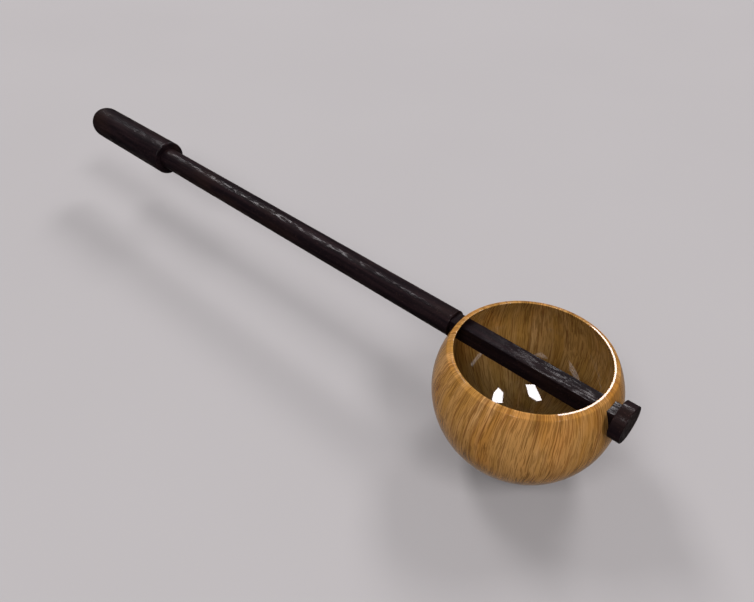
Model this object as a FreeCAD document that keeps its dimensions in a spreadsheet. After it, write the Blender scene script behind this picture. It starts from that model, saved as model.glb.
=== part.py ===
"""Body of a spike lute: an open wooden bowl threaded on a round dark stick.

The stick lies along X, head end at -X and tail end at +X, and the mouth of the bowl faces +Z.
The origin is the middle of the bounding box in X and Y, on the level of the bowl's lowest point.

How the pieces go together:
  - the neck's thinner square-cut spike slides through two matching holes in the bowl, so the
    bowl cannot turn on it, until the neck's shoulder meets the bowl's wall;
  - the tail button closes the other end of the spike, located by a hidden dowel, and traps the bowl;
  - the other end of the neck is glued into a blind socket in the head.
"""
import FreeCAD, Part
import math
import os
import Sketcher

DIMENSIONS = {
    # Bowl: a hollow ball cut off flat above its centre.
    "bowl_radius": 65.0,
    "bowl_wall": 3.0,
    "mouth_height": 33.6,
    "rim_flat": 1.75,
    "rim_bevel_drop": 1.55,
    "rim_inner_round": 0.3,
    "rim_outer_round": 0.5,
    "rim_shoulder_round": 0.8,
    # Stick: the common axis of the neck, head and tail button, above the ball's centre.
    "stick_height": 20.7,
    "head_reach": 568.0,
    "tail_reach": 73.0,
    # Neck: a round rod that steps down to a four-sided spike where it meets the bowl.
    "neck_radius": 10.2,
    "spike_width": 12.1,
    "spike_height": 13.4,
    "spike_edge_round": 0.5,
    "shoulder_edge_round": 0.5,
    # Head: a round handle with a domed end and a softly rounded shoulder.
    "head_radius": 16.3,
    "head_length": 137.0,
    "head_shoulder_round": 2.0,
    "socket_depth": 45.0,
    "socket_end_room": 1.0,
    # Tail button and the dowel that holds it.
    "button_radius": 13.3,
    "button_edge_round": 0.35,
    "dowel_radius": 4.0,
    "dowel_length": 30.0,
    "dowel_in_button": 5.0,
    "dowel_end_room": 0.5,
    "dowel_chamfer": 0.6,
    # Fits.
    "sliding_gap": 0.1,
    "glue_gap": 0.05,
    "bearing_gap": 0.1,
}

# Positions that follow from the driving dimensions, as spreadsheet formulas.
BOWL_AXIS_X = "(dims.head_reach - dims.tail_reach) / 2"
STICK_AXIS_Z = "dims.bowl_radius + dims.stick_height"
SHOULDER_REACH = ("sqrt(dims.bowl_radius ^ 2 - (dims.stick_height - dims.neck_radius) ^ 2)"
                  " + dims.bearing_gap")
BUTTON_REACH = ("sqrt(dims.bowl_radius ^ 2 - (dims.stick_height - dims.button_radius) ^ 2)"
                " + dims.bearing_gap")
SOCKET_MOUTH_REACH = "dims.head_reach - dims.head_length"

ORIGIN = -1
START, END, CENTRE = 1, 2, 3


def fill_sheet(doc):
    """Write every driving dimension into the sheet, one named cell each."""
    sheet = doc.addObject("Spreadsheet::Sheet", "dims")
    for row, (name, value) in enumerate(DIMENSIONS.items(), start=1):
        sheet.set(f"A{row}", name)
        sheet.set(f"B{row}", str(value))
        sheet.setAlias(f"B{row}", name)
    doc.recompute()


def new_body(doc, name, height):
    """Start a sub-part whose own origin is on the bowl's axis at the given height."""
    body = doc.addObject("PartDesign::Body", name)
    body.Label = name
    body.setExpression("Placement.Base.x", BOWL_AXIS_X)
    body.setExpression("Placement.Base.z", height)
    return body


def new_sketch(body, name, role, offset=None):
    """Attach a sketch to one of the body's own origin planes, moved along its normal."""
    plane = next(item for item in body.Origin.OriginFeatures if item.Role == role)
    sketch = body.newObject("Sketcher::SketchObject", name)
    sketch.AttachmentSupport = [(plane, "")]
    sketch.MapMode = "FlatFace"
    if offset:
        sketch.setExpression("AttachmentOffset.Base.z", offset)
    return sketch


def dimension(sketch, name, constraint, formula):
    """Add a named constraint whose value comes from the sheet."""
    sketch.addConstraint(constraint)
    sketch.renameConstraint(sketch.ConstraintCount - 1, name)
    sketch.setExpression(f"Constraints.{name}", formula)


def join(sketch, first, first_point, second, second_point):
    sketch.addConstraint(Sketcher.Constraint("Coincident", first, first_point, second, second_point))


def draw_circle(sketch, radius_formula):
    """A circle about the sketch's origin."""
    circle = Part.Circle(FreeCAD.Vector(), FreeCAD.Vector(0, 0, 1), 1.0)
    index = sketch.addGeometry(circle)
    join(sketch, index, CENTRE, ORIGIN, START)
    dimension(sketch, "radius", Sketcher.Constraint("Radius", index, 1.0), radius_formula)


def draw_rectangle(sketch, width, height, width_formula, height_formula):
    """A rectangle centred on the sketch's origin."""
    half_width, half_height = width / 2, height / 2
    corners = [FreeCAD.Vector(side * half_width, level * half_height, 0)
               for side, level in ((-1, -1), (1, -1), (1, 1), (-1, 1))]
    bottom, right, top, left = (sketch.addGeometry(Part.LineSegment(first, second))
                                for first, second in zip(corners, corners[1:] + corners[:1]))
    for first, second in ((bottom, right), (right, top), (top, left), (left, bottom)):
        join(sketch, first, END, second, START)
    for line in (bottom, top):
        sketch.addConstraint(Sketcher.Constraint("Horizontal", line))
    for line in (right, left):
        sketch.addConstraint(Sketcher.Constraint("Vertical", line))
    sketch.addConstraint(Sketcher.Constraint("Symmetric", bottom, START, top, START, ORIGIN, START))
    dimension(sketch, "width",
              Sketcher.Constraint("DistanceX", bottom, START, bottom, END, width), width_formula)
    dimension(sketch, "height",
              Sketcher.Constraint("DistanceY", right, START, right, END, height), height_formula)


def draw_bowl_profile(sketch):
    """Half of the bowl's wall: two arcs about the ball's centre, closed at the axis and the rim.

    The rim is a narrow flat that a bevel joins to the outside.
    """
    outer = DIMENSIONS["bowl_radius"]
    inner = outer - DIMENSIONS["bowl_wall"]
    mouth = DIMENSIONS["mouth_height"]
    shoulder = mouth - DIMENSIONS["rim_bevel_drop"]
    normal = FreeCAD.Vector(0, 0, 1)
    arcs = []
    for radius, top in ((outer, shoulder), (inner, mouth)):
        circle = Part.Circle(FreeCAD.Vector(), normal, radius)
        arcs.append(sketch.addGeometry(
            Part.ArcOfCircle(circle, -math.pi / 2, math.asin(top / radius))))
    outer_arc, inner_arc = arcs
    shoulder_point = FreeCAD.Vector(math.sqrt(outer ** 2 - shoulder ** 2), shoulder, 0)
    inner_lip = FreeCAD.Vector(math.sqrt(inner ** 2 - mouth ** 2), mouth, 0)
    outer_lip = inner_lip + FreeCAD.Vector(DIMENSIONS["rim_flat"], 0, 0)
    bevel = sketch.addGeometry(Part.LineSegment(shoulder_point, outer_lip))
    rim = sketch.addGeometry(Part.LineSegment(outer_lip, inner_lip))
    base = sketch.addGeometry(Part.LineSegment(FreeCAD.Vector(0, -inner, 0),
                                               FreeCAD.Vector(0, -outer, 0)))
    for arc in arcs:
        join(sketch, arc, CENTRE, ORIGIN, START)
    join(sketch, outer_arc, END, bevel, START)
    join(sketch, bevel, END, rim, START)
    join(sketch, rim, END, inner_arc, END)
    join(sketch, inner_arc, START, base, START)
    join(sketch, base, END, outer_arc, START)
    sketch.addConstraint(Sketcher.Constraint("Horizontal", rim))
    sketch.addConstraint(Sketcher.Constraint("Vertical", base))
    vertical_axis = -2
    sketch.addConstraint(Sketcher.Constraint("PointOnObject", base, START, vertical_axis))
    dimension(sketch, "outer_radius", Sketcher.Constraint("Radius", outer_arc, outer),
              "dims.bowl_radius")
    dimension(sketch, "inner_radius", Sketcher.Constraint("Radius", inner_arc, inner),
              "dims.bowl_radius - dims.bowl_wall")
    dimension(sketch, "mouth_height",
              Sketcher.Constraint("DistanceY", ORIGIN, START, rim, START, mouth),
              "dims.mouth_height")
    dimension(sketch, "rim_flat",
              Sketcher.Constraint("DistanceX", rim, END, rim, START, DIMENSIONS["rim_flat"]),
              "dims.rim_flat")
    dimension(sketch, "rim_bevel_drop",
              Sketcher.Constraint("DistanceY", bevel, START, bevel, END,
                                  DIMENSIONS["rim_bevel_drop"]),
              "dims.rim_bevel_drop")


def draw_head_profile(sketch):
    """Half of the head about its axis: flat shoulder, straight side and a full round dome.

    The profile runs from the shoulder on the right to the tip of the dome on the left.
    """
    radius = DIMENSIONS["head_radius"]
    shoulder = -(DIMENSIONS["head_reach"] - DIMENSIONS["head_length"])
    dome = -(DIMENSIONS["head_reach"] - radius)
    points = [FreeCAD.Vector(dome - radius, 0, 0), FreeCAD.Vector(shoulder, 0, 0),
              FreeCAD.Vector(shoulder, radius, 0), FreeCAD.Vector(dome, radius, 0)]
    axis, face, side = (sketch.addGeometry(Part.LineSegment(first, second))
                        for first, second in zip(points, points[1:]))
    circle = Part.Circle(FreeCAD.Vector(dome, 0, 0), FreeCAD.Vector(0, 0, 1), radius)
    arc = sketch.addGeometry(Part.ArcOfCircle(circle, math.pi / 2, math.pi))
    join(sketch, axis, END, face, START)
    join(sketch, face, END, side, START)
    join(sketch, arc, END, axis, START)
    horizontal_axis = -1
    sketch.addConstraint(Sketcher.Constraint("PointOnObject", axis, START, horizontal_axis))
    sketch.addConstraint(Sketcher.Constraint("PointOnObject", arc, CENTRE, horizontal_axis))
    sketch.addConstraint(Sketcher.Constraint("Horizontal", axis))
    sketch.addConstraint(Sketcher.Constraint("Vertical", face))
    sketch.addConstraint(Sketcher.Constraint("Horizontal", side))
    sketch.addConstraint(Sketcher.Constraint("Tangent", side, END, arc, START))
    dimension(sketch, "radius", Sketcher.Constraint("Radius", arc, radius), "dims.head_radius")
    dimension(sketch, "length",
              Sketcher.Constraint("DistanceX", axis, START, axis, END, DIMENSIONS["head_length"]),
              "dims.head_length")
    dimension(sketch, "shoulder_reach",
              Sketcher.Constraint("DistanceX", axis, END, ORIGIN, START, -shoulder),
              SOCKET_MOUTH_REACH)


def add_revolution(body, name, sketch, axis):
    revolution = body.newObject("PartDesign::Revolution", name)
    revolution.Profile = sketch
    revolution.ReferenceAxis = (sketch, [axis])
    revolution.Angle = 360.0
    sketch.Visibility = False
    return revolution


def add_pad(body, name, sketch, length_formula, backwards=False):
    pad = body.newObject("PartDesign::Pad", name)
    pad.Profile = sketch
    pad.setExpression("Length", length_formula)
    pad.Reversed = backwards
    sketch.Visibility = False
    return pad


def add_pocket(body, name, sketch, length_formula, backwards=False):
    """Cut the sketch's outline out of the body and make sure that material really went."""
    doc = body.Document
    doc.recompute()
    before = body.Shape.Volume
    pocket = body.newObject("PartDesign::Pocket", name)
    pocket.Profile = sketch
    pocket.setExpression("Length", length_formula)
    pocket.Reversed = backwards
    sketch.Visibility = False
    doc.recompute()
    if body.Shape.Volume >= before - 1.0:
        raise RuntimeError(f"{body.Label}: {name} removed no material")
    return pocket


def circular_edges(feature, axis, position, radius):
    """Names of the full-circle edges at a place along the axis (0 is X, 2 is Z)."""
    names = []
    for number, edge in enumerate(feature.Shape.Edges, start=1):
        if edge.Degenerated or not isinstance(edge.Curve, Part.Circle):
            continue
        at_place = abs(edge.Curve.Center[axis] - position) < 0.01
        if at_place and abs(edge.Curve.Radius - radius) < 0.01:
            names.append(f"Edge{number}")
    return names


def round_edges(body, name, feature, edges, radius_formula):
    if not edges:
        raise RuntimeError(f"{body.Label}: {name} found no edges")
    fillet = body.newObject("PartDesign::Fillet", name)
    fillet.Base = (feature, edges)
    fillet.setExpression("Radius", radius_formula)
    body.Document.recompute()
    return fillet


def make_bowl(doc):
    body = new_body(doc, "bowl", "dims.bowl_radius")
    profile = new_sketch(body, "bowl_profile", "XZ_Plane")
    draw_bowl_profile(profile)
    wall = add_revolution(body, "bowl_wall", profile, "V_Axis")
    doc.recompute()

    mouth = DIMENSIONS["mouth_height"]
    outer = DIMENSIONS["bowl_radius"]
    inner = outer - DIMENSIONS["bowl_wall"]
    shoulder = mouth - DIMENSIONS["rim_bevel_drop"]
    inner_lip = math.sqrt(inner ** 2 - mouth ** 2)
    outer_lip = inner_lip + DIMENSIONS["rim_flat"]
    for name, height, radius in (("shoulder", shoulder, math.sqrt(outer ** 2 - shoulder ** 2)),
                                 ("outer", mouth, outer_lip), ("inner", mouth, inner_lip)):
        edges = circular_edges(wall, 2, height, radius)
        wall = round_edges(body, f"rim_{name}_edge", wall, edges, f"dims.rim_{name}_round")

    holes = new_sketch(body, "spike_hole_outline", "YZ_Plane", "-dims.bowl_radius")
    holes.setExpression("AttachmentOffset.Base.y", "dims.stick_height")
    draw_rectangle(holes, DIMENSIONS["spike_width"], DIMENSIONS["spike_height"],
                   "dims.spike_width + 2 * dims.sliding_gap",
                   "dims.spike_height + 2 * dims.sliding_gap")
    add_pocket(body, "spike_holes", holes, "2 * dims.bowl_radius", backwards=True)
    return body


def make_neck(doc):
    body = new_body(doc, "neck", STICK_AXIS_Z)
    rod_outline = new_sketch(body, "rod_outline", "YZ_Plane", f"-({SHOULDER_REACH})")
    draw_circle(rod_outline, "dims.neck_radius")
    rod = add_pad(body, "rod", rod_outline,
                  f"{SOCKET_MOUTH_REACH} + dims.socket_depth - dims.socket_end_room"
                  f" - ({SHOULDER_REACH})", backwards=True)
    doc.recompute()
    shoulder = max(vertex.X for vertex in rod.Shape.Vertexes)
    edges = circular_edges(rod, 0, shoulder, DIMENSIONS["neck_radius"])
    round_edges(body, "shoulder_edge", rod, edges, "dims.shoulder_edge_round")

    spike_outline = new_sketch(body, "spike_outline", "YZ_Plane", f"-({SHOULDER_REACH})")
    draw_rectangle(spike_outline, DIMENSIONS["spike_width"], DIMENSIONS["spike_height"],
                   "dims.spike_width", "dims.spike_height")
    spike = add_pad(body, "spike", spike_outline, f"({SHOULDER_REACH}) + ({BUTTON_REACH})")
    doc.recompute()
    edges = []
    for number, edge in enumerate(spike.Shape.Edges, start=1):
        ends = [vertex.Point for vertex in edge.Vertexes]
        long_way = abs(ends[0].x - ends[-1].x) > 1.0
        off_axis = all(abs(abs(point.y) - DIMENSIONS["spike_width"] / 2) < 0.01 for point in ends)
        if isinstance(edge.Curve, Part.Line) and long_way and off_axis:
            edges.append(f"Edge{number}")
    round_edges(body, "spike_edges", spike, edges, "dims.spike_edge_round")

    bore = new_sketch(body, "dowel_bore_outline", "YZ_Plane", BUTTON_REACH)
    draw_circle(bore, "dims.dowel_radius + dims.glue_gap")
    add_pocket(body, "dowel_bore", bore,
               "dims.dowel_length - dims.dowel_in_button + dims.dowel_end_room")
    return body


def make_head(doc):
    body = new_body(doc, "head", STICK_AXIS_Z)
    profile = new_sketch(body, "head_profile", "XZ_Plane")
    draw_head_profile(profile)
    handle = add_revolution(body, "handle", profile, "H_Axis")
    doc.recompute()
    shoulder = -(DIMENSIONS["head_reach"] - DIMENSIONS["head_length"])
    edges = circular_edges(handle, 0, shoulder, DIMENSIONS["head_radius"])
    round_edges(body, "shoulder_edge", handle, edges, "dims.head_shoulder_round")

    socket = new_sketch(body, "socket_outline", "YZ_Plane", f"-({SOCKET_MOUTH_REACH})")
    draw_circle(socket, "dims.neck_radius + dims.glue_gap")
    add_pocket(body, "neck_socket", socket, "dims.socket_depth")
    return body


def make_tail_button(doc):
    body = new_body(doc, "tail_button", STICK_AXIS_Z)
    outline = new_sketch(body, "button_outline", "YZ_Plane", BUTTON_REACH)
    draw_circle(outline, "dims.button_radius")
    disc = add_pad(body, "disc", outline, f"dims.tail_reach - ({BUTTON_REACH})")
    doc.recompute()
    rims = []
    for place in {round(vertex.X, 3) for vertex in disc.Shape.Vertexes}:
        rims += circular_edges(disc, 0, place, DIMENSIONS["button_radius"])
    round_edges(body, "rim_edges", disc, rims, "dims.button_edge_round")

    bore = new_sketch(body, "dowel_bore_outline", "YZ_Plane", BUTTON_REACH)
    draw_circle(bore, "dims.dowel_radius + dims.glue_gap")
    add_pocket(body, "dowel_bore", bore, "dims.dowel_in_button + dims.dowel_end_room",
               backwards=True)
    return body


def make_tail_dowel(doc):
    """A plain round peg, half hidden in the spike and half in the tail button."""
    peg = doc.addObject("Part::Cylinder", "peg")
    peg.setExpression("Radius", "dims.dowel_radius")
    peg.setExpression("Height", "dims.dowel_length")
    doc.recompute()
    dowel = doc.addObject("Part::Chamfer", "tail_dowel")
    dowel.Label = "tail_dowel"
    dowel.Base = peg
    chamfer = DIMENSIONS["dowel_chamfer"]
    rims = [number for number, edge in enumerate(peg.Shape.Edges, start=1)
            if isinstance(edge.Curve, Part.Circle)]
    dowel.Edges = [(number, chamfer, chamfer) for number in rims]
    dowel.Placement.Rotation = FreeCAD.Rotation(FreeCAD.Vector(0, 1, 0), 90)
    dowel.setExpression("Placement.Base.x",
                        f"{BOWL_AXIS_X} + ({BUTTON_REACH}) + dims.dowel_in_button"
                        " - dims.dowel_length")
    dowel.setExpression("Placement.Base.z", STICK_AXIS_Z)
    return dowel


def check(doc, parts):
    """Stop if any feature failed, or any sub-part is not one valid solid."""
    for item in doc.Objects:
        if "Invalid" in item.State or "Error" in item.State:
            raise RuntimeError(f"{item.Label} failed to recompute: {item.State}")
    for item in parts:
        if item.Shape.isNull() or not item.Shape.isValid() or len(item.Shape.Solids) != 1:
            raise RuntimeError(f"{item.Label} is not one valid solid")


def main():
    doc = FreeCAD.newDocument("spike_lute_body")
    fill_sheet(doc)
    parts = [make_bowl(doc), make_neck(doc), make_head(doc), make_tail_button(doc),
             make_tail_dowel(doc)]
    doc.recompute()
    check(doc, parts)
    os.makedirs("parts", exist_ok=True)
    for item in parts:
        item.Shape.exportStep(f"parts/{item.Label}.step")
        box = item.Shape.optimalBoundingBox(False)
        print(f"{item.Label}: {item.Shape.Volume / 1000:.1f} cm3,"
              f" X {box.XMin:.1f} to {box.XMax:.1f},"
              f" Y {box.YMin:.1f} to {box.YMax:.1f},"
              f" Z {box.ZMin:.1f} to {box.ZMax:.1f}")


main()
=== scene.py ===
import math

import bmesh
import bpy
from mathutils import Euler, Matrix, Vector, noise


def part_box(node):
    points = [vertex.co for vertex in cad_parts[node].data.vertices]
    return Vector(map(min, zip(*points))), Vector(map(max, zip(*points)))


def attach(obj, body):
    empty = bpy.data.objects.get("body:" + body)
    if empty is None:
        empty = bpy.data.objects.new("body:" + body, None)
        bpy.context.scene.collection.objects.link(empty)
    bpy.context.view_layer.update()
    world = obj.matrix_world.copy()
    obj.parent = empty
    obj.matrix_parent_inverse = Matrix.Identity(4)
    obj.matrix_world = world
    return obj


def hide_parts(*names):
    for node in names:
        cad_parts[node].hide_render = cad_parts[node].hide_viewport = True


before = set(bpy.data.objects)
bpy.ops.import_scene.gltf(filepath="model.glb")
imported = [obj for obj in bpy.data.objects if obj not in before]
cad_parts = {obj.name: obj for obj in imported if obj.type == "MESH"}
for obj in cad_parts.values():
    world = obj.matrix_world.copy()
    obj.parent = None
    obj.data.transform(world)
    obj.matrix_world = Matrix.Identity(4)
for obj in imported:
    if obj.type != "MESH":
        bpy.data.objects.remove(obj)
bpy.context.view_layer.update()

MM = 0.001

# Sizes and places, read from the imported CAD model.
bowl_low, bowl_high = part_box("bowl")
neck_low, neck_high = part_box("neck")
head_low, head_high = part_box("head")
button_low, button_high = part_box("tail_button")
dowel_low, dowel_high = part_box("tail_dowel")

BOWL_RADIUS = (bowl_high.y - bowl_low.y) / 2
BALL_CENTRE = Vector(((bowl_low.x + bowl_high.x) / 2, 0.0, BOWL_RADIUS))
STICK_Z = (neck_low.z + neck_high.z) / 2
NECK_RADIUS = (neck_high.y - neck_low.y) / 2
HEAD_RADIUS = (head_high.y - head_low.y) / 2
BUTTON_RADIUS = (button_high.y - button_low.y) / 2
DOWEL_RADIUS = (dowel_high.y - dowel_low.y) / 2

# The neck's shoulder stands where its lower edge meets the bowl.
SHOULDER_X = BALL_CENTRE.x - math.sqrt(
    BOWL_RADIUS**2 - (STICK_Z - NECK_RADIUS - BALL_CENTRE.z) ** 2
)

# Smaller sizes, as the CAD model has them.
WALL = 3.0 * MM
RIM_BEVEL_DROP = 1.55 * MM
SHOULDER_ROUND = 0.5 * MM
SPIKE_HALF_WIDTH = 6.05 * MM
SPIKE_HALF_HEIGHT = 6.7 * MM
SPIKE_EDGE_ROUND = 0.5 * MM
GLUE_GAP = 0.05 * MM
HEAD_SHOULDER_ROUND = 2.0 * MM
BUTTON_ROUND = 0.35 * MM
SOCKET_END_ROOM = 1.0 * MM
DOWEL_END_ROOM = 0.5 * MM

# Heights above the middle of the ball.
MOUTH_Z = bowl_high.z - BALL_CENTRE.z
BEVEL_FOOT_Z = MOUTH_Z - RIM_BEVEL_DROP

# The dark pieces' meshes: points round the stick, spacing of the rings along it, the angle that
# each of the spike's corner points keeps free of other points, the radius that counts as none, how
# near a bore's radius a point still belongs to the bore, and the angle from which an edge is sharp.
RING_POINTS = 96
RING_SPACING = 1.6 * MM
CORNER_CLEARANCE = 0.01
ON_AXIS = 1e-9
BORE_MARGIN = 0.1 * MM
SHARP_ANGLE = math.radians(32)

# Lengths along the stick, in metres, of the long and of the short scraper marks.
LONG_MARK = 0.034
SHORT_MARK = 0.009

# The bowl's fibres lean by this much, in radians of turn per metre of height.
GRAIN_TWIST = 1.1

# Four flat softboxes overhead, turned by this much from the stick. Their near and far edges are
# shares of their height above the bowl, which is in metres. The radiance is in W/(m2 sr).
PANEL_TURN = math.radians(45)
PANEL_HEIGHT = 8.0
PANEL_P = (0.375, 0.725)
PANEL_Q = (0.42, 1.10)
PANEL_RADIANCE = 19.9
PANEL_TINT = (1.0, 0.955, 0.975)

# Half the width of the square floor, in metres.
FLOOR_HALF = 6.0

# The photo's view, in degrees. Azimuth 0 looks along +Y, elevation is above the floor.
CAMERA_AZIMUTH = 43.38
CAMERA_ELEVATION = 39.75

# Sockets of a Mix node that mixes colours.
MIX_SHARE, MIX_FIRST, MIX_SECOND, MIX_RESULT = 0, 6, 7, 2


# ---------------------------------------------------------------- small tools


def smoothstep(t):
    """From 0 to 1 with a soft start and end."""
    t = max(0.0, min(1.0, t))
    return t * t * (3 - 2 * t)


def steps(start, end, spacing):
    """Evenly spaced numbers from start to end, both included."""
    count = max(1, round(abs(end - start) / spacing))
    return [start + (end - start) * i / count for i in range(count + 1)]


def arc(centre, radius, from_deg, to_deg, count):
    """Points (x, r) of an arc in count equal steps, both ends included."""
    angles = steps(from_deg, to_deg, abs(to_deg - from_deg) / count)
    return [
        (
            centre[0] + radius * math.cos(math.radians(a)),
            centre[1] + radius * math.sin(math.radians(a)),
        )
        for a in angles
    ]


def round_section(radius):
    """Distance of the surface from the stick's axis: a circle."""
    return lambda angle: radius


def spike_section():
    """Distance of the surface from the stick's axis: a rectangle with eased corners."""
    wide, high, ease = SPIKE_HALF_WIDTH, SPIKE_HALF_HEIGHT, SPIKE_EDGE_ROUND
    centre = (wide - ease, high - ease)

    def distance(angle):
        c, s = abs(math.cos(angle)), abs(math.sin(angle))
        if c * centre[1] >= s * wide:
            return wide / c
        if s * centre[0] >= c * high:
            return high / s
        along = c * centre[0] + s * centre[1]
        return along + math.sqrt(along**2 - centre[0] ** 2 - centre[1] ** 2 + ease**2)

    return distance


def even_angles():
    """Angles round the stick, evenly spaced."""
    return [2 * math.pi * i / RING_POINTS for i in range(RING_POINTS)]


def spike_angles():
    """Angles round the stick, closer together at the corners of the spike."""
    low = math.atan2(SPIKE_HALF_HEIGHT - SPIKE_EDGE_ROUND, SPIKE_HALF_WIDTH)
    high = math.atan2(SPIKE_HALF_HEIGHT, SPIKE_HALF_WIDTH - SPIKE_EDGE_ROUND)
    corner = steps(low, high, (high - low) / 6)

    def clear_of_corner(angle):
        folded = math.atan2(abs(math.sin(angle)), abs(math.cos(angle)))
        return min(abs(folded - c) for c in corner) > CORNER_CLEARANCE

    angles = {a for a in even_angles() if clear_of_corner(a)}
    for c in corner:
        angles |= {c, math.pi - c, math.pi + c, 2 * math.pi - c}
    return sorted(angles)


def loft(name, stations, angles, carve):
    """A closed solid along the stick's axis. Each station is (x, distance of the surface by angle,
    share of the carving). One with no distance is a point on the axis, which closes the solid."""
    verts, faces, rings = [], [], []
    for x, distance, share in stations:
        if distance is None:
            rings.append([len(verts)])
            verts.append((x, 0.0, STICK_Z))
            continue
        ring = []
        for angle in angles:
            r = distance(angle)
            r -= share * carve(x, angle)
            ring.append(len(verts))
            verts.append((x, r * math.cos(angle), STICK_Z + r * math.sin(angle)))
        rings.append(ring)
    count = len(angles)
    for a, b in zip(rings, rings[1:]):
        for i in range(count):
            j = (i + 1) % count
            if len(a) == 1:
                faces.append((a[0], b[j], b[i]))
            elif len(b) == 1:
                faces.append((a[i], a[j], b[0]))
            else:
                faces.append((a[i], a[j], b[j], b[i]))
    mesh = bpy.data.meshes.new(name)
    mesh.from_pydata(verts, [], faces)
    work = bmesh.new()
    work.from_mesh(mesh)
    bmesh.ops.recalc_face_normals(work, faces=work.faces)
    work.to_mesh(mesh)
    work.free()
    mesh.shade_smooth()
    mesh.set_sharp_from_angle(angle=SHARP_ANGLE)
    piece = bpy.data.objects.new(name, mesh)
    bpy.context.scene.collection.objects.link(piece)
    return piece


def carving(depth_long, depth_short, seed):
    """Depth of the shallow long and short scraper marks, always into the wood."""

    def wave(x, angle, length, spread):
        """A smooth wave between 0 and 1. length sets its size along the stick, and spread how
        often it changes round the stick."""
        return 0.5 + 0.5 * noise.noise(
            Vector((x / length + seed, math.cos(angle) * spread, math.sin(angle) * spread))
        )

    def depth(x, angle):
        long_wave = wave(x, angle, LONG_MARK, 1.3)
        short_wave = wave(x, angle, SHORT_MARK, 3.1)
        return depth_long * long_wave + depth_short * short_wave

    return depth


def near(x, *faces, reach=1.2 * MM):
    """Share of the carving at x: none right at a fitted face, all of it a little way off."""
    return min(smoothstep(abs(x - face) / reach) for face in faces)


# ------------------------------------------------------------------ materials


class Nodes:
    """A short way to build a node tree."""

    def __init__(self, name):
        self.material = bpy.data.materials.new(name)
        self.material.use_nodes = True
        self.tree = self.material.node_tree
        self.tree.nodes.clear()
        self.output = self.add("ShaderNodeOutputMaterial")
        self.shader = self.add("ShaderNodeBsdfPrincipled")
        self.link(self.shader.outputs["BSDF"], self.output.inputs["Surface"])

    def add(self, kind, **settings):
        node = self.tree.nodes.new(kind)
        for key, value in settings.items():
            setattr(node, key, value)
        return node

    def link(self, source, target):
        """Feeds target from a socket or sets it to a plain value. None leaves it as it is."""
        if hasattr(source, "links"):
            self.tree.links.new(source, target)
        elif source is not None:
            target.default_value = source

    def math(self, operation, a, b=None, c=None):
        node = self.add("ShaderNodeMath", operation=operation)
        for socket, value in zip(node.inputs, (a, b, c)):
            self.link(value, socket)
        return node.outputs[0]

    def vector(self, operation, a, b=None):
        node = self.add("ShaderNodeVectorMath", operation=operation)
        self.link(a, node.inputs[0])
        self.link(b, node.inputs[1])
        return node.outputs["Value" if operation == "LENGTH" else "Vector"]

    def split(self, vector):
        node = self.add("ShaderNodeSeparateXYZ")
        self.link(vector, node.inputs[0])
        return node.outputs

    def join(self, x, y, z):
        node = self.add("ShaderNodeCombineXYZ")
        for socket, value in zip(node.inputs, (x, y, z)):
            self.link(value, socket)
        return node.outputs[0]

    def object_coords(self):
        return self.add("ShaderNodeTexCoord").outputs["Object"]

    def noise(self, vector, scale, detail, roughness=0.5, distortion=0.0):
        node = self.add("ShaderNodeTexNoise", noise_dimensions="3D")
        self.link(vector, node.inputs["Vector"])
        for key, value in (
            ("Scale", scale),
            ("Detail", detail),
            ("Roughness", roughness),
            ("Distortion", distortion),
        ):
            node.inputs[key].default_value = value
        return node.outputs["Fac"]

    def ramp(self, value, low, high, out_low=0.0, out_high=1.0):
        """A soft step: out_low up to low, out_high from high on."""
        node = self.add("ShaderNodeMapRange", interpolation_type="SMOOTHSTEP")
        self.link(value, node.inputs["Value"])
        for key, number in (
            ("From Min", low),
            ("From Max", high),
            ("To Min", out_low),
            ("To Max", out_high),
        ):
            node.inputs[key].default_value = number
        return node.outputs[0]

    def mix(self, share, first, second, blend="MIX"):
        node = self.add("ShaderNodeMix", data_type="RGBA", blend_type=blend)
        self.link(share, node.inputs[MIX_SHARE])
        self.link(first, node.inputs[MIX_FIRST])
        self.link(second, node.inputs[MIX_SECOND])
        return node.outputs[MIX_RESULT]

    def tint(self, share, colour, factor):
        """The colour multiplied by the factor, as far as the share says."""
        return self.mix(share, colour, self.mix(1.0, colour, factor, "MULTIPLY"))

    def bump(self, height, distance, strength):
        node = self.add("ShaderNodeBump")
        node.inputs["Strength"].default_value = strength
        node.inputs["Distance"].default_value = distance
        self.link(height, node.inputs["Height"])
        return node.outputs["Normal"]


def rgb(red, green, blue):
    return (red, green, blue, 1.0)


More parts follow.
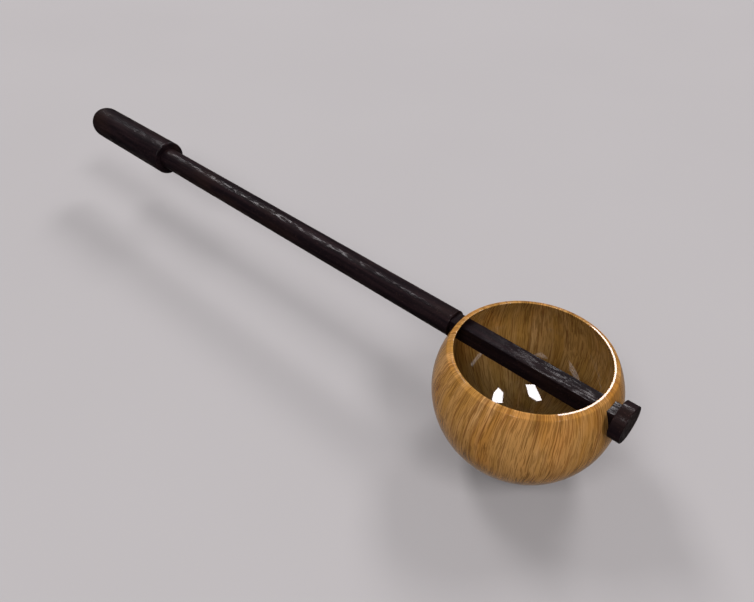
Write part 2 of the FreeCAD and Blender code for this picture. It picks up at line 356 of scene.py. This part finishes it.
def make_bowl_wood():
    """Varnished oak-like wood whose fibres run up the bowl's sides, with painted shade inside that
    darkens towards the bottom. The varnish is thinner on the rim's flat and worn along the foot of
    its bevel."""
    n = Nodes("varnished_pale_wood")
    place = n.vector("SUBTRACT", n.object_coords(), tuple(BALL_CENTRE))
    x, y, z = n.split(place)

    # Each point is pushed out, level, to the ball's widest circle, so that fibres run up the sides.
    # Near the upright axis, within end_grain, they don't close up to a point.
    end_grain = 0.2 * BOWL_RADIUS
    across_squared = n.math("ADD", n.math("MULTIPLY", x, x), n.math("MULTIPLY", y, y))
    reach = n.math("SQRT", n.math("ADD", across_squared, end_grain**2))
    push = n.math("DIVIDE", BOWL_RADIUS, reach)
    u = n.math("MULTIPLY", x, push)
    v = n.math("MULTIPLY", y, push)

    # The fibres wander a little to both sides, and lean.
    broad = n.join(n.math("MULTIPLY", u, 0.5), n.math("MULTIPLY", v, 0.5), z)
    wander = n.math("SUBTRACT", n.noise(broad, 22.0, 2.0), 0.5)
    lean = n.math("MULTIPLY", wander, 6.0 * MM)
    twist = n.math("MULTIPLY", z, GRAIN_TWIST)
    u, v = (
        n.math("ADD", n.math("ADD", u, n.math("MULTIPLY", v, twist)), lean),
        n.math("ADD", n.math("SUBTRACT", v, n.math("MULTIPLY", u, twist)), lean),
    )

    def fibre(stretch, scale, detail, roughness=0.55, distortion=0.0):
        """Noise drawn out up the bowl's sides; the smaller the stretch, the longer the fibres."""
        along = n.math("MULTIPLY", z, stretch)
        return n.noise(n.join(u, v, along), scale, detail, roughness, distortion)

    pores = fibre(0.05, 1500.0, 1.0, 0.5)
    dashes = fibre(0.05, 1050.0, 1.0, 0.5)
    lines = fibre(0.025, 640.0, 1.0, 0.5)
    streaks = fibre(0.04, 500.0, 2.0, 0.6)
    bands = fibre(0.10, 110.0, 2.0, 0.5, 0.4)
    patches = fibre(0.45, 34.0, 2.0)
    crowding = fibre(0.20, 75.0, 2.0)
    figure = fibre(0.22, 58.0, 3.0, 0.6, 0.5)

    light = rgb(0.294, 0.157, 0.048)
    middle = rgb(0.252, 0.127, 0.029)
    pale = rgb(0.380, 0.222, 0.090)
    brown = rgb(0.082, 0.035, 0.006)
    red_brown = rgb(0.090, 0.028, 0.006)
    colour = n.mix(n.ramp(bands, 0.38, 0.64), middle, light)
    colour = n.mix(n.ramp(figure, 0.56, 0.70, 0.0, 0.45), colour, pale)
    colour = n.mix(n.ramp(streaks, 0.52, 0.66, 0.0, 0.12), colour, brown)
    crowd = n.ramp(crowding, 0.36, 0.64, 0.20, 0.64)
    colour = n.mix(n.math("MULTIPLY", n.ramp(dashes, 0.545, 0.595), crowd), colour, brown)
    colour = n.mix(n.ramp(pores, 0.53, 0.58, 0.0, 0.48), colour, brown)
    colour = n.mix(n.ramp(lines, 0.60, 0.66, 0.0, 0.50), colour, red_brown)
    colour = n.tint(n.ramp(patches, 0.46, 0.66), colour, rgb(1.06, 0.95, 0.80))

    # Inside, painted shade: the colour goes from dark at the bottom of the hollow to a little paler
    # near the rim.
    depth = n.math("SUBTRACT", BOWL_RADIUS, n.vector("LENGTH", place))
    inside = n.ramp(depth, 0.5 * WALL, 0.95 * WALL)
    inside_painted_shade = n.mix(n.ramp(z, -46 * MM, 12 * MM), rgb(0.51, 0.59, 0.67), rgb(1.10, 1.16, 1.20))
    n.link(n.tint(inside, colour, inside_painted_shade), n.shader.inputs["Base Color"])

    n.link(n.ramp(streaks, 0.3, 0.7, 0.42, 0.58), n.shader.inputs["Roughness"])
    height = n.math("SUBTRACT", 1.0, n.ramp(pores, 0.53, 0.66))
    n.link(n.bump(height, 0.05 * MM, 0.35), n.shader.inputs["Normal"])
    n.shader.inputs["Specular IOR Level"].default_value = 0.0

    # The varnish is worn along an uneven line at the bevel's foot, whole inside the bowl, and thin
    # on the rim's flat. Heights off the foot and under the mouth:
    worn_below, whole_above, unevenness = 0.55 * MM, 1.1 * MM, 0.8 * MM
    whole_under, thin_over = 0.45 * MM, 0.05 * MM
    off_foot = n.math("ABSOLUTE", n.math("SUBTRACT", z, BEVEL_FOOT_Z))
    off_foot = n.math("MULTIPLY_ADD", wander, unevenness, off_foot)
    coat = n.math("MAXIMUM", n.ramp(off_foot, worn_below, whole_above, 0.05, 1.0), inside)
    thinned = n.ramp(z, MOUTH_Z - whole_under, MOUTH_Z - thin_over, 1.0, 0.70)
    n.link(n.math("MULTIPLY", coat, thinned), n.shader.inputs["Coat Weight"])
    n.shader.inputs["Coat Roughness"].default_value = 0.03
    n.shader.inputs["Coat IOR"].default_value = 1.6
    ripple = fibre(0.3, 120.0, 2.0)
    n.link(n.bump(ripple, 0.02 * MM, 0.4), n.shader.inputs["Coat Normal"])
    return n.material


def make_stick_wood():
    """Near-black hardwood with a rubbed oil finish: grain along the stick, a few paler flecks, and
    a sheen in patches only."""
    n = Nodes("oiled_dark_wood")
    x, y, z = n.split(n.object_coords())

    def fibre(stretch, scale, detail, roughness=0.55):
        """Noise drawn out along the stick; the smaller the stretch, the longer the fibres."""
        return n.noise(n.join(n.math("MULTIPLY", x, stretch), y, z), scale, detail, roughness)

    grain = fibre(0.06, 900.0, 3.0, 0.65)
    veins = fibre(0.05, 260.0, 2.0)
    rubbed = fibre(0.22, 420.0, 4.0, 0.7)
    blotches = fibre(0.35, 40.0, 2.0)
    flecks = fibre(0.7, 1300.0, 1.0)

    black = rgb(0.0038, 0.0022, 0.0030)
    brown = rgb(0.0086, 0.0047, 0.0056)
    warm_brown = rgb(0.0125, 0.0062, 0.0046)
    pore_black = rgb(0.0018, 0.0012, 0.0013)
    pale_fleck = rgb(0.040, 0.022, 0.019)
    colour = n.mix(n.ramp(veins, 0.42, 0.66), black, brown)
    colour = n.mix(n.ramp(blotches, 0.5, 0.7, 0.0, 0.5), colour, warm_brown)
    colour = n.mix(n.ramp(grain, 0.55, 0.75, 0.0, 0.6), colour, pore_black)
    colour = n.mix(n.ramp(flecks, 0.67, 0.72, 0.0, 0.6), colour, pale_fleck)
    n.link(colour, n.shader.inputs["Base Color"])
    n.link(n.ramp(rubbed, 0.40, 0.62, 0.55, 0.38), n.shader.inputs["Roughness"])
    n.shader.inputs["Specular IOR Level"].default_value = 0.03
    relief = n.math("ADD", n.math("MULTIPLY", grain, 0.6), rubbed)
    n.link(n.bump(relief, 0.08 * MM, 0.5), n.shader.inputs["Normal"])
    n.link(n.ramp(rubbed, 0.49, 0.60, 0.01, 0.27), n.shader.inputs["Coat Weight"])
    n.shader.inputs["Coat Roughness"].default_value = 0.14
    n.link(n.bump(rubbed, 0.36 * MM, 0.8), n.shader.inputs["Coat Normal"])
    return n.material


def make_dowel_wood():
    """Plain birch-like wood of the hidden dowel."""
    n = Nodes("dowel_wood")
    x, y, z = n.split(n.object_coords())
    fine = n.noise(n.join(n.math("MULTIPLY", x, 0.08), y, z), 2600.0, 3.0)
    broad = n.noise(n.join(n.math("MULTIPLY", x, 0.15), y, z), 500.0, 2.0)
    colour = n.mix(n.ramp(broad, 0.35, 0.65), rgb(0.50, 0.35, 0.19), rgb(0.60, 0.46, 0.29))
    colour = n.mix(n.ramp(fine, 0.5, 0.75, 0.0, 0.5), colour, rgb(0.36, 0.23, 0.11))
    n.link(colour, n.shader.inputs["Base Color"])
    n.link(n.ramp(fine, 0.3, 0.7, 0.55, 0.75), n.shader.inputs["Roughness"])
    n.link(n.bump(fine, 0.04 * MM, 0.4), n.shader.inputs["Normal"])
    return n.material


def make_floor_paint():
    """Matt pale studio floor, seen from above only."""
    n = Nodes("studio_floor")
    tone = n.noise(n.object_coords(), 3.0, 2.0)
    darker, lighter = rgb(0.250, 0.247, 0.247), rgb(0.254, 0.251, 0.251)
    n.link(n.mix(n.ramp(tone, 0.3, 0.7), darker, lighter), n.shader.inputs["Base Color"])
    n.shader.inputs["Roughness"].default_value = 0.95
    n.shader.inputs["Specular IOR Level"].default_value = 0.0
    under = n.add("ShaderNodeNewGeometry").outputs["Backfacing"]
    clear = n.add("ShaderNodeBsdfTransparent")
    choice = n.add("ShaderNodeMixShader")
    n.link(under, choice.inputs[0])
    n.link(n.shader.outputs["BSDF"], choice.inputs[1])
    n.link(clear.outputs[0], choice.inputs[2])
    n.link(choice.outputs[0], n.output.inputs["Surface"])
    return n.material


# --------------------------------------------------------------------- pieces


def make_neck():
    """The stick: round neck, shoulder against the bowl, four-sided spike with the dowel's bore."""
    round_neck = round_section(NECK_RADIUS)
    spike = spike_section()
    bore = round_section(DOWEL_RADIUS + GLUE_GAP)
    bore_end = dowel_low.x

    # How far the first and last carved rings stay off the neck's end and the shoulder, and how
    # much of the carving the spike has.
    end_margin, neck_margin, spike_margin = 2.0 * MM, 1.5 * MM, 0.8 * MM
    spike_share = 0.6

    def rounded_edge(x, from_deg, to_deg, count):
        """Rings over a rounded edge of the neck. x is the middle of its rounding."""
        points = arc((x, NECK_RADIUS - SHOULDER_ROUND), SHOULDER_ROUND, from_deg, to_deg, count)
        return [(x, round_section(r), 0.0) for x, r in points]

    stations = [(neck_low.x, None, 0.0)]
    stations.append((neck_low.x, round_section(NECK_RADIUS - SHOULDER_ROUND), 0.0))
    stations += rounded_edge(neck_low.x + SHOULDER_ROUND, 180, 90, 4)
    for x in steps(neck_low.x + end_margin, SHOULDER_X - neck_margin, RING_SPACING):
        stations.append((x, round_neck, near(x, neck_low.x, SHOULDER_X)))
    stations += rounded_edge(SHOULDER_X - SHOULDER_ROUND, 90, 0, 5)
    stations.append((SHOULDER_X, spike, 0.0))
    for x in steps(SHOULDER_X + spike_margin, neck_high.x, RING_SPACING):
        stations.append((x, spike, spike_share * near(x, SHOULDER_X, neck_high.x)))
    stations += [(x, bore, 0.0) for x in steps(neck_high.x, bore_end, spacing=4.0 * MM)]
    stations.append((bore_end, None, 0.0))
    return loft("neck_stick", stations, spike_angles(), carving(0.12 * MM, 0.09 * MM, seed=3.1))


def revolved(name, profile, share_at, carve):
    """A closed solid of revolution about the stick's axis, from points (x, r). It starts and ends
    with r = 0, a point on the axis."""
    stations = [
        (x, round_section(r), share_at(x, r)) if r > ON_AXIS else (x, None, 0.0)
        for x, r in profile
    ]
    return loft(name, stations, even_angles(), carve)


def make_head():
    """The head: dome, long barrel, rounded shoulder, and the socket that holds the neck."""
    mouth, tip = head_high.x, head_low.x
    bore = NECK_RADIUS + GLUE_GAP
    socket_end = neck_low.x - SOCKET_END_ROOM
    shoulder = (mouth - HEAD_SHOULDER_ROUND, HEAD_RADIUS - HEAD_SHOULDER_ROUND)
    profile = [(socket_end, 0.0)]
    profile += [(x, bore) for x in steps(socket_end, mouth, spacing=5.0 * MM)]
    profile += arc(shoulder, HEAD_SHOULDER_ROUND, 0, 90, 10)
    barrel = steps(mouth - HEAD_SHOULDER_ROUND, tip + HEAD_RADIUS, RING_SPACING)[1:]
    profile += [(x, HEAD_RADIUS) for x in barrel]
    dome = arc((tip + HEAD_RADIUS, 0.0), HEAD_RADIUS, 90, 180, 22)[1:-1]
    profile += dome + [(tip, 0.0)]

    def share(x, r):
        """No carving in the socket, nor right at the mouth and at the tip."""
        in_socket = r <= bore + BORE_MARGIN and x >= socket_end
        return 0.0 if in_socket else near(x, mouth, tip, reach=3 * MM)

    return revolved("head_finial", profile, share, carving(0.16 * MM, 0.15 * MM, seed=17.7))


def make_button():
    """The tail button: a thick disc with eased edges and the dowel's blind bore."""
    inner, outer = button_low.x, button_high.x
    bore = DOWEL_RADIUS + GLUE_GAP
    bore_end = dowel_high.x + DOWEL_END_ROOM
    inner_round, outer_round = inner + BUTTON_ROUND, outer - BUTTON_ROUND
    face_radius = BUTTON_RADIUS - BUTTON_ROUND
    profile = [(bore_end, 0.0)]
    profile += [(x, bore) for x in steps(bore_end, inner, spacing=1.5 * MM)]
    profile += arc((inner_round, face_radius), BUTTON_ROUND, 180, 90, 5)
    profile += [(x, BUTTON_RADIUS) for x in steps(inner_round, outer_round, spacing=MM)[1:-1]]
    profile += arc((outer_round, face_radius), BUTTON_ROUND, 90, 0, 5)
    profile += [(outer, r) for r in steps(face_radius, 0.0, spacing=1.1 * MM)[1:]]

    def share(x, r):
        """No carving in the bore, nor right at either face."""
        return near(x, inner, outer, reach=1.5 * MM) if r > bore + BORE_MARGIN else 0.0

    return revolved("tail_button_disc", profile, share, carving(0.10 * MM, 0.04 * MM, seed=41.3))


# ---------------------------------------------------------------------- scene


def make_floor():
    """A square floor at height 0. The varnish and the rubbed wood don't mirror it: the world's
    mirrored floor stands in for it, evenly lit."""
    corners = [(x * FLOOR_HALF, y * FLOOR_HALF, 0) for x, y in ((-1, -1), (1, -1), (1, 1), (-1, 1))]
    mesh = bpy.data.meshes.new("studio_floor")
    mesh.from_pydata(corners, [], [(0, 1, 2, 3)])
    floor = bpy.data.objects.new("studio_floor", mesh)
    bpy.context.scene.collection.objects.link(floor)
    mesh.materials.append(make_floor_paint())
    floor.visible_glossy = False


def make_ceiling_panel(name, p_side, q_side):
    """One of the four softboxes. p_side and q_side, 1 or -1, say on which side of the bowl it hangs
    along each of the two level axes p and q."""
    p_axis = Vector((math.cos(PANEL_TURN), math.sin(PANEL_TURN), 0.0))
    q_axis = Vector((math.sin(PANEL_TURN), -math.cos(PANEL_TURN), 0.0))
    light = bpy.data.lights.new(name, "AREA")
    light.shape = "RECTANGLE"
    light.size = PANEL_HEIGHT * (PANEL_P[1] - PANEL_P[0])
    light.size_y = PANEL_HEIGHT * (PANEL_Q[1] - PANEL_Q[0])
    light.energy = PANEL_RADIANCE * math.pi * light.size * light.size_y
    light.color = PANEL_TINT
    lamp = bpy.data.objects.new(name, light)
    lamp.location = BALL_CENTRE + PANEL_HEIGHT * (
        Vector((0.0, 0.0, 1.0))
        + p_axis * p_side * sum(PANEL_P) / 2
        + q_axis * q_side * sum(PANEL_Q) / 2
    )
    lamp.rotation_euler = Euler((0.0, 0.0, PANEL_TURN))
    lamp.visible_camera = False
    bpy.context.scene.collection.objects.link(lamp)


def camera_side():
    """The direction from the object towards the camera."""
    a, e = math.radians(CAMERA_AZIMUTH), math.radians(CAMERA_ELEVATION)
    return Vector((math.sin(a) * math.cos(e), -math.cos(a) * math.cos(e), math.sin(e)))


def make_surroundings(backdrop, horizon, zenith, mirrored, mirrored_floor):
    """A plain backdrop behind the object, soft light that fades from horizon to zenith, and, in
    reflections only, dark walls and the pale floor beyond the object."""
    world = bpy.data.worlds.new("studio")
    bpy.context.scene.world = world
    world.use_nodes = True
    tree = world.node_tree
    tree.nodes.clear()
    add, link = tree.nodes.new, tree.links.new
    direction = add("ShaderNodeTexCoord").outputs["Generated"]

    def choose(share, first, second):
        """The first colour where the share is 0, the second where it is 1."""
        mix = add("ShaderNodeMix")
        mix.data_type = "RGBA"
        link(share, mix.inputs[MIX_SHARE])
        for index, value in ((MIX_FIRST, first), (MIX_SECOND, second)):
            if hasattr(value, "links"):
                link(value, mix.inputs[index])
            else:
                mix.inputs[index].default_value = value
        return mix.outputs[MIX_RESULT]

    def towards(aim, low, high, colour_low, colour_high):
        """From colour_low to colour_high as the direction turns towards aim. low and high are
        cosines of the angle between the two."""
        cosine = add("ShaderNodeVectorMath")
        cosine.operation = "DOT_PRODUCT"
        link(direction, cosine.inputs[0])
        cosine.inputs[1].default_value = aim
        share = add("ShaderNodeMapRange")
        share.inputs["From Min"].default_value = low
        share.inputs["From Max"].default_value = high
        link(cosine.outputs["Value"], share.inputs["Value"])
        return choose(share.outputs[0], colour_low, colour_high)

    rays = add("ShaderNodeLightPath").outputs
    light = towards((0.0, 0.0, 1.0), 0.0, 1.0, horizon, zenith)
    reflected = towards(-camera_side(), 0.50, 0.95, mirrored, mirrored_floor)
    colour = choose(rays["Is Glossy Ray"], light, reflected)
    colour = choose(rays["Is Camera Ray"], colour, backdrop)
    background = add("ShaderNodeBackground")
    link(colour, background.inputs["Color"])
    link(background.outputs[0], add("ShaderNodeOutputWorld").inputs["Surface"])


def make_camera(aim, distance, lens):
    """The photo's camera. It looks at aim, distance metres away, through a lens of lens mm."""
    data = bpy.data.cameras.new("camera")
    data.sensor_fit = "HORIZONTAL"
    data.sensor_width = 36.0
    data.lens = lens
    data.clip_start = 0.01
    data.clip_end = 200.0
    camera = bpy.data.objects.new("camera", data)
    camera.location = aim + camera_side() * distance
    camera.rotation_euler = Euler(
        (math.radians(90 - CAMERA_ELEVATION), 0.0, math.radians(CAMERA_AZIMUTH))
    )
    bpy.context.scene.collection.objects.link(camera)
    bpy.context.scene.camera = camera


bpy.context.scene.view_settings.view_transform = "Standard"
make_camera(
    aim=BALL_CENTRE + Vector((-0.1416, 0.0, -0.0021)),
    distance=0.5398,
    lens=31.903,
)
make_floor()
make_surroundings(
    backdrop=rgb(0.55, 0.53, 0.535),
    horizon=rgb(1.05, 1.00, 1.02),
    zenith=rgb(0.03, 0.03, 0.03),
    mirrored=rgb(0.045, 0.043, 0.048),
    mirrored_floor=rgb(0.21, 0.18, 0.165),
)
for panel, p_side, q_side in (("tail", 1, 1), ("front", -1, 1), ("back", 1, -1), ("head", -1, -1)):
    make_ceiling_panel("softbox_" + panel, p_side, q_side)

bowl_wood = make_bowl_wood()
stick_wood = make_stick_wood()
dowel_wood = make_dowel_wood()

for node, material, slot_name in (
    ("bowl", bowl_wood, "pale_wood"),
    ("tail_dowel", dowel_wood, "dowel_wood"),
):
    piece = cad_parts[node]
    for material_slot in piece.material_slots:
        material_slot.material = material

for maker, node in ((make_neck, "neck"), (make_head, "head"), (make_button, "tail_button")):
    piece = maker()
    piece.data.materials.append(stick_wood)
    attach(piece, "root")
    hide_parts(node)
